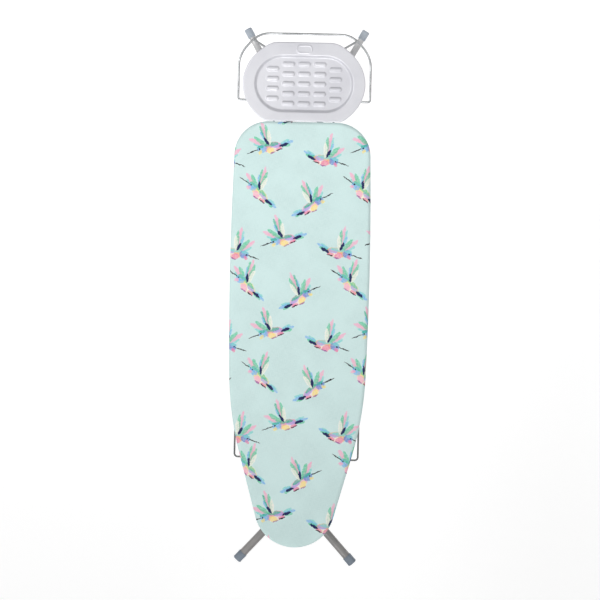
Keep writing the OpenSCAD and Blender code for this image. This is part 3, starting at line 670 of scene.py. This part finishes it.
def make_tray():
    """The tray's top face as a grid that follows its edge, with the rounded edge, skirt and rolled bead."""
    across, along = MESH_ACROSS, MESH_ALONG
    near, side, far = tray_edge(EDGE_R)
    ys = np.linspace(side[0, 1], side[-1, 1], along + 1)
    halves = np.interp(ys, side[:, 1], side[:, 0])
    share = np.linspace(-1, 1, across + 1)
    xs = halves[:, None] * share[None, :]
    grid_y = np.repeat(ys[:, None], across + 1, axis=1)
    climb = smooth(0.0, 1.0, np.linspace(0, 1, along + 1) * 5 - 4)[:, None]
    grid_y = grid_y + climb * (np.interp(np.abs(xs[-1]), far[::-1, 0], far[::-1, 1]) - ys[-1])[None, :]
    grid_y = grid_y + climb[::-1] * (np.interp(np.abs(xs[0]), near[:, 0], near[:, 1]) - ys[0])[None, :]
    zs = tray_height(xs, grid_y)
    points = [tuple(p) for p in np.stack([xs, grid_y, zs], -1).reshape(-1, 3)]

    def at(j, i):
        return j * (across + 1) + i

    faces = [(at(j, i), at(j, i + 1), at(j + 1, i + 1), at(j + 1, i))
             for j in range(along) for i in range(across)]
    rim = [at(0, i) for i in range(across)] + [at(j, across) for j in range(along)]
    rim += [at(along, i) for i in range(across, 0, -1)] + [at(j, 0) for j in range(along, 0, -1)]
    places = np.array([points[k][:2] for k in rim])
    ahead = np.roll(places, -3, 0) - np.roll(places, 3, 0)
    outward = np.stack([ahead[:, 1], -ahead[:, 0]], 1)
    outward /= np.linalg.norm(outward, axis=1)[:, None]
    rows = [(EDGE_R * math.sin(a), TRAY_TOP - EDGE_R * (1 - math.cos(a)))
            for a in np.radians([18, 36, 54, 72, 90])]
    rows.append((EDGE_R, SKIRT_Z))
    rows += [(EDGE_R - BEAD_R + BEAD_R * math.cos(a), BEAD_Z - BEAD_R * math.sin(a))
             for a in np.radians([0, 35, 70, 105, 140, 175, 210])]
    count = len(rim)
    previous = rim
    for off, z in rows:
        ring = list(range(len(points), len(points) + count))
        points += [(p[0] + n[0] * off, p[1] + n[1] * off, z) for p, n in zip(places, outward)]
        faces += [(previous[k], ring[k], ring[(k + 1) % count], previous[(k + 1) % count])
                  for k in range(count)]
        previous = ring
    made = piece("pressed_tray", points, faces, tray_metal, "deck", "tray_metal", ["iron_tray"])
    solid = made.modifiers.new("thickness", "SOLIDIFY")
    solid.thickness, solid.offset = TRAY_SHEET * MM, -1


make_tray()

RAIL_HALF, RAIL_NEAR, RAIL_FAR, RAIL_Z = 178.5, 534.6, 714.5, 54.0
RAIL_KNEE_Y, RAIL_SHOULDER_X = 655.0, 127.5
WIRE_SIDES = 20
# Wires as corners with the radius of each bend: (x, y, z, radius)
rail = [(RAIL_HALF, RAIL_NEAR, RAIL_Z, 7), (RAIL_HALF, RAIL_KNEE_Y, RAIL_Z, 80),
        (RAIL_SHOULDER_X, RAIL_FAR, RAIL_Z, 70)]
rail += [(-x, y, z, r) for x, y, z, r in rail[::-1]]
loop = sweep(bent(rail, closed=True), WIRE_R, WIRE_SIDES, closed=True)
piece("rail_loop", *loop, bright_wire, "deck", "bright_wire", ["hanging_rail"])
tray_wire = [
    (WIRE_X, 404, WIRE_LOW, 0), (WIRE_X, END_Y + 6, WIRE_LOW, 14), (WIRE_X, END_Y + 32, WIRE_HIGH, 14),
    (WIRE_X, 655, WIRE_HIGH, 10), (WIRE_X + 12, 669, WIRE_HIGH, 10), (141, 697.5, WIRE_HIGH, 0),
]
right_wire = sweep(bent(tray_wire), WIRE_R, WIRE_SIDES)
both_wires = joined([right_wire, mirrored(right_wire)])
piece("tray_support_wires", *both_wires, bright_wire, "deck", "bright_wire", ["tray_wires"])

# ---------------------------------------------------------------- the height release

BAIL_HALF, BAIL_END, BAIL_Y, BAIL_Z, BAIL_R, ROD_R = 168.5, -436.0, 200.0, 48.5, 2.5, 3.0
BAIL_BEND, HOOK, HOOK_BEND, ROD_HALF = 9, 14, 4, BAIL_HALF - 8
bail = [(BAIL_HALF - HOOK, BAIL_Y, BAIL_Z, 0), (BAIL_HALF, BAIL_Y, BAIL_Z, HOOK_BEND),
        (BAIL_HALF, BAIL_END, BAIL_Z, BAIL_BEND)]
bail += [(-x, y, z, r) for x, y, z, r in bail[::-1]]
bail = sweep(bent(bail), BAIL_R, WIRE_SIDES)
rod = sweep([Vector((s * ROD_HALF, BAIL_Y, BAIL_Z)) for s in (-1, 1)], ROD_R, 24)
piece("bail_wire", *joined([bail, rod]), grey_wire, "release", "grey_wire", ["release_bail"])


def coil(x0, x1, y, z, radius, wire, turns, steps_per_turn=20):
    """A torsion spring about a line along X, with a short leg at each end."""
    steps = turns * steps_per_turn
    path = [Vector((x0, y + 13, z - radius)), Vector((x0, y + 5, z - radius))]
    for k in range(steps + 1):
        a = 2 * math.pi * turns * k / steps
        x = x0 + (x1 - x0) * k / steps
        path.append(Vector((x, y - radius * math.sin(a), z - radius * math.cos(a))))
    path += [Vector((x1, y - 5, path[-1].z)), Vector((x1, y - 12, path[-1].z))]
    return sweep(path, wire, 10)


spring = coil(94.8, 106.2, BAIL_Y, BAIL_Z, radius=4.25, wire=0.65, turns=6)
both_springs = joined([spring, mirrored(spring)])
piece("bail_springs", *both_springs, spring_steel, "deck", "spring_steel", ["return_springs"])

# ---------------------------------------------------------------- the legs


def leg_place(slope):
    """Puts points that are drawn flat about the scissor pin into a leg frame's plane."""
    return lambda p: Matrix.Rotation(slope, 4, "X") @ Vector(p) + Vector((0, 0, PIN_Z))


def leg_tube(x, foot_x, splay, diameter, foot_end, slope):
    """The +X tube of a leg frame: straight from its bar, bent outwards at the knee, and hollow at its ends.

    foot_end is 1 for a frame whose feet are at +Y and -1 for one whose feet are at -Y.
    """
    knee_y = REACH - (foot_x - x) / math.tan(math.radians(splay))
    corners = [(x, -ARM - PAST_BAR, 0, 0), (x, knee_y, 0, KNEE_R), (foot_x, REACH, 0, 0)]
    path = bent([(px, foot_end * py, pz, r) for px, py, pz, r in corners])
    place = leg_place(slope)
    points, faces = sweep(path, diameter / 2, 32, ends="open")
    return [place(p) for p in points], faces


INNER_X, INNER_FOOT, INNER_SPLAY, INNER_D = 16.0, 155.5, 42.0, 22.0
OUTER_X, OUTER_FOOT, OUTER_SPLAY, OUTER_D = 42.0, 157.0, 30.0, 18.0
PAST_BAR, KNEE_R, SHARP_DEGREES = 8, 70, 50
HANDS = (("right", lambda part: part), ("left", mirrored))
inner = leg_tube(INNER_X, INNER_FOOT, INNER_SPLAY, INNER_D, -1, SLOPE)
outer = leg_tube(OUTER_X, OUTER_FOOT, OUTER_SPLAY, OUTER_D, 1, -SLOPE)
for hand, turn in HANDS:
    for kind, tube, paint in (("inner", inner, inner_paint), ("outer", outer, outer_paint)):
        made = piece(f"{kind}_leg_{hand}", *turn(tube), paint, f"{kind}_legs", f"{kind}_leg_paint",
                     [f"{kind}_tube_{hand}"])
        sharp_by_angle(made, SHARP_DEGREES)


# The caps' lower halves reach this far past the floor before they are cut flat, so the whole sole is on it
SOLE_SINK = 0.9
CAP_LENGTH, CAP_ROUND, CAP_SIDES = 26.0, 4, 48
# A cap's section is a rounded square: a circle's sine and cosine to the power 2 / CAP_POWER, drawn in a bit
CAP_POWER, CAP_SHARE = 2.7, 0.965
# The collar at a cap's open end and the groove beyond it: (distance from that end, cut from the radius)
COLLAR = [(0.0, 0.5), (0.6, 0.0), (3.6, 0.0), (4.2, 0.7), (5.4, 0.7), (6.0, 0.15)]
BODY_START, GROOVES_START, GROOVE, RIB_PITCH = 7.5, 8, 0.7, 2.6
# How far round from the cap's sides a slot reaches, and from the middle of the sole a rib, as a sine
SLOT_REACH, RIB_REACH = 0.35, 0.75


def cap(centre, heading, slope, radius, end, tube_r):
    """A moulded foot cap on a tube's end: rounded body, collar, shallow side slots and a flat ribbed sole."""
    place = leg_place(slope)
    along = Vector((math.sin(heading), math.cos(heading), 0))
    across = Vector((math.cos(heading), -math.sin(heading), 0))
    back = end - CAP_LENGTH
    stations = [(back, tube_r + 0.1)] + [(back + u, radius - less) for u, less in COLLAR]
    stations += [(u, radius) for u in np.linspace(back + BODY_START, end - CAP_ROUND, 9)]
    stations += [(end - CAP_ROUND + CAP_ROUND * math.sin(a), radius - CAP_ROUND + CAP_ROUND * math.cos(a))
                 for a in np.radians([18, 36, 54, 72, 90])]
    stations += [(end, radius - 7), (end - 0.01, 0.6)]
    points = []
    for u, r in stations:
        for k in range(CAP_SIDES):
            a = 2 * math.pi * k / CAP_SIDES
            c, s = math.cos(a), math.sin(a)
            v, w = (math.copysign(abs(t) ** (2 / CAP_POWER), t) * r * CAP_SHARE for t in (c, s))
            if s < 0:
                w *= (FOOT_Z + SOLE_SINK) / (radius * CAP_SHARE)
            if back + GROOVES_START < u < end - CAP_ROUND and abs(s) < SLOT_REACH:
                v -= math.copysign(GROOVE, c)
            p = place(Vector(centre) + along * u + across * v + Vector((0, 0, w)))
            ribbed = back + GROOVES_START < u < end - CAP_ROUND - 1 and abs(c) < RIB_REACH
            p.z = max(p.z, GROOVE if ribbed and int((u - back) / RIB_PITCH) % 2 else 0.0)
            points.append(p)
    faces = grid_faces(len(stations), CAP_SIDES)
    faces.append(tuple((len(stations) - 1) * CAP_SIDES + k for k in range(CAP_SIDES)))
    return points, faces


NOSE_CAP_R, NOSE_CAP_END, REST_CAP_R = 13.0, 6.0, 11.0
inner_splay, outer_splay = math.radians(INNER_SPLAY), math.radians(OUTER_SPLAY)
# The rest caps end where both kinds of cap reach equally far along the legs
rest_cap_end = (NOSE_CAP_END * math.cos(inner_splay) + NOSE_CAP_R * math.sin(inner_splay)
                - REST_CAP_R * math.sin(outer_splay)) / math.cos(outer_splay)
nose_cap = cap((INNER_FOOT, -REACH, 0), math.radians(180 - INNER_SPLAY), SLOPE, NOSE_CAP_R, NOSE_CAP_END,
               INNER_D / 2)
rest_cap = cap((OUTER_FOOT, REACH, 0), outer_splay, -SLOPE, REST_CAP_R, rest_cap_end, OUTER_D / 2)
for hand, turn in HANDS:
    # The rest caps get the same plastic painted lighter, which paints in the brighter light at the rest end
    for end, foot, plastic, body in (("nose", nose_cap, cap_plastic, "inner_legs"),
                                     ("rest", rest_cap, cap_plastic_painted_lighter, "outer_legs")):
        piece(f"{end}_foot_{hand}", *turn(foot), plastic, body, "cap_plastic", [f"{end}_cap_{hand}"])

# ---------------------------------------------------------------- CAD parts that stay

KEPT = {
    "deck_sheet": deck_steel, "cross_bars": frame_paint, "pivot_bracket_left": frame_paint,
    "pivot_bracket_right": frame_paint, "pivot_rod": zinc, "pivot_spacers": nylon_white, "pivot_nuts": zinc,
    "slotted_rail_left": deck_steel, "slotted_rail_right": deck_steel, "rail_rivets": zinc,
    "bail_lugs": frame_paint, "wire_clips": deck_steel, "tray_clips": deck_steel, "inner_brace": inner_paint,
    "scissor_pin": zinc, "scissor_nut": zinc, "scissor_spacers": nylon_white, "outer_brace": outer_paint,
    "slider_bar": zinc, "slider_spacers": nylon_white, "slider_glides": nylon_black, "height_strip": zinc,
}
EDGE_BEVEL, BEVEL_DEGREES = 0.35, 32
for name, material in KEPT.items():
    part = frame["nodes"][name]
    for slot in part.material_slots:
        slot.material = material
    part.data.polygons.foreach_set("use_smooth", [True] * len(part.data.polygons))
    weld = part.modifiers.new("weld", "WELD")
    weld.merge_threshold = 1e-5
    bevel = part.modifiers.new("edges", "BEVEL")
    bevel.width, bevel.segments, bevel.limit_method = EDGE_BEVEL * MM, 2, "ANGLE"
    bevel.angle_limit, bevel.harden_normals = math.radians(BEVEL_DEGREES), True

# ---------------------------------------------------------------- studio and camera


# Light from around: its strength by the direction's height, and a factor on it by the direction along Y
SKY_RISE, SKY_LEAN = (-0.1, 0.75, 0.22, 0.88), (-1.0, 1.0, 1.35, 0.6)


def studio():
    """White behind everything for the camera, and soft light from above, stronger from the nose's side."""
    scene.view_settings.view_transform = "Standard"
    world = bpy.data.worlds.new("studio")
    scene.world = world
    world.use_nodes = True
    tree = world.node_tree

    def put(kind, *sources, **settings):
        node = tree.nodes.new("ShaderNode" + kind)
        for key, value in settings.items():
            setattr(node, key, value)
        for k, source in enumerate(sources):
            tree.links.new(source, node.inputs[k])
        return node

    def ranged(value, limits, kind):
        node = put("MapRange", value, interpolation_type=kind)
        for k, limit in enumerate(limits, 1):
            node.inputs[k].default_value = limit
        return node.outputs[0]

    backdrop = tree.nodes["Background"]
    backdrop.inputs["Color"].default_value = (1, 1, 1, 1)
    backdrop.inputs["Strength"].default_value = 1.0
    axes = put("SeparateXYZ", put("TexCoord").outputs["Generated"])
    rise, lean = ranged(axes.outputs[2], SKY_RISE, "SMOOTHSTEP"), ranged(axes.outputs[1], SKY_LEAN, "LINEAR")
    lit = put("Background")
    tree.links.new(put("Math", rise, lean, operation="MULTIPLY").outputs[0], lit.inputs["Strength"])
    camera_ray = put("LightPath").outputs["Is Camera Ray"]
    choose = put("MixShader", camera_ray, lit.outputs[0], backdrop.outputs[0])
    tree.links.new(choose.outputs[0], tree.nodes["World Output"].inputs["Surface"])


def area_light(name, place, target, size, power, beam):
    data = bpy.data.lights.new(name, "AREA")
    data.shape, data.size, data.energy, data.spread = "DISK", size, power, math.radians(beam)
    lamp = bpy.data.objects.new(name, data)
    lamp.location = place
    lamp.rotation_euler = (Vector(target) - Vector(place)).to_track_quat("-Z", "Y").to_euler()
    lamp.visible_camera = False
    scene.collection.objects.link(lamp)


def lowest_foot():
    """Height of the nose-end feet with the legs fully open, in metres."""
    joint = next(j for j in frame["joints"] if j["name"] == "leg_fold")
    pivot = Vector(joint["pos_m"])
    low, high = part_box("nose_cap_right")
    turn = Matrix.Rotation(math.radians(joint["range_deg"][1]), 4, "X")
    corners = [Vector((0, y, z)) for y in (low.y, high.y) for z in (low.z, high.z)]
    return min((turn @ (c - Vector((0, pivot.y, pivot.z)))).z + pivot.z for c in corners)


studio()
area_light("key", (-0.9, -1.7, 2.5), (0, 0.8, 0), size=2.2, power=5.0, beam=50)
area_light("side", (-1.5, 0.8, 1.9), (0, 0.6, 0), size=1.2, power=6, beam=120)
area_light("fill", (1.6, 1.6, 2.4), (0, 0.6, 0), size=1.8, power=3, beam=100)

FLOOR_GAP, FLOOR_HALF = 0.001, 20.0
floor_z = lowest_foot() - FLOOR_GAP
mesh = bpy.data.meshes.new("floor")
mesh.from_pydata([(x * FLOOR_HALF, y * FLOOR_HALF, floor_z) for x, y in ((-1, -1), (1, -1), (1, 1), (-1, 1))],
                 [], [(0, 1, 2, 3)])
floor = bpy.data.objects.new("floor", mesh)
scene.collection.objects.link(floor)
paper = Graph("floor_paper")
paper_place = paper.put("TexCoord", {}).outputs["Object"]
paper.set(Base_Color=(0.9, 0.9, 0.9, 1), Roughness=0.9, Specular_IOR_Level=0.1,
          Emission_Color=(1, 1, 1, 1), Emission_Strength=0.36,
          Normal=paper.bump(paper.noise(paper_place, 200.0), 0.1, 0.0002))
mesh.materials.append(paper.material)

TARGET = Vector((0.0035, -0.0025, 0.075))
DISTANCE, TILT_Y, TILT_X, ROLL, LENS = 8.0, 3.5, 5.0, 1.33, 177.6
towards = Vector((math.tan(math.radians(TILT_X)), math.tan(math.radians(TILT_Y)), 1)).normalized()
lens = bpy.data.cameras.new("camera")
lens.lens, lens.sensor_width, lens.clip_end = LENS, 36.0, 100.0
camera = bpy.data.objects.new("camera", lens)
scene.collection.objects.link(camera)
forward = -towards
up = Vector((-math.sin(math.radians(ROLL)), math.cos(math.radians(ROLL)), 0))
up = (up - forward * up.dot(forward)).normalized()
right = forward.cross(up)
camera.matrix_world = Matrix((right, up, -forward)).transposed().to_4x4()
camera.location = TARGET + towards * DISTANCE
scene.camera = camera
